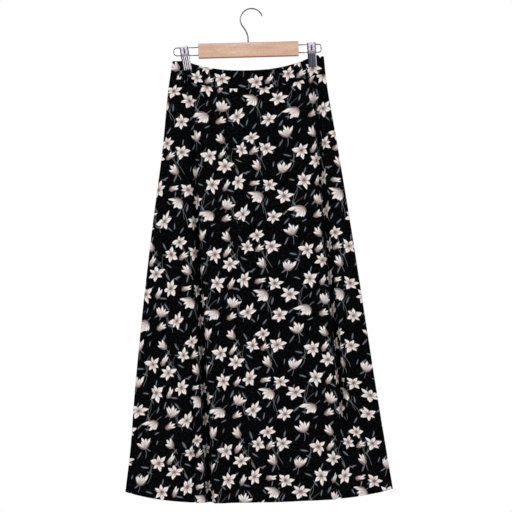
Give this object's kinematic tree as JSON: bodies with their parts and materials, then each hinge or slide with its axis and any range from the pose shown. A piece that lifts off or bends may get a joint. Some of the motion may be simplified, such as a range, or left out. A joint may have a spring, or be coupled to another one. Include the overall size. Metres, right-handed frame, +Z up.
{
  "type": "maxi skirt on a clip hanger",
  "caption": "Long A-line skirt of printed cloth with a shaped waistband, hung by its waist from a wooden bar hanger with sprung clips and a wire hook.",
  "frame": {"origin": "the hook's seat: the inner top of the hook, where a rail or a peg carries it", "axes": "+Z up, +Y towards the back of the skirt, +X to the right seen from the front"},
  "size_m": [0.6224, 0.1008, 1.1471],
  "materials": {
    "floral_cloth": "soft woven viscose, near black with a cream and slate floral print",
    "pale_wood": "pale pinkish wood, fine straight grain, matt lacquer",
    "bright_wire": "bright drawn steel wire",
    "plated_steel": "pressed and plated spring steel"
  },
  "bodies": {
    "root": {"waistband_front": "floral_cloth", "waistband_back": "floral_cloth", "skirt_front": "floral_cloth", "skirt_back": "floral_cloth", "hanger_bar": "pale_wood", "hanger_hook": "bright_wire", "arm_left": "bright_wire", "arm_right": "bright_wire", "clip_left_jaw_front": "plated_steel", "clip_left_jaw_back": "plated_steel", "clip_left_pin": "plated_steel", "clip_left_spring": "plated_steel", "clip_right_jaw_front": "plated_steel", "clip_right_jaw_back": "plated_steel", "clip_right_pin": "plated_steel", "clip_right_spring": "plated_steel"}
  },
  "joints": []
}
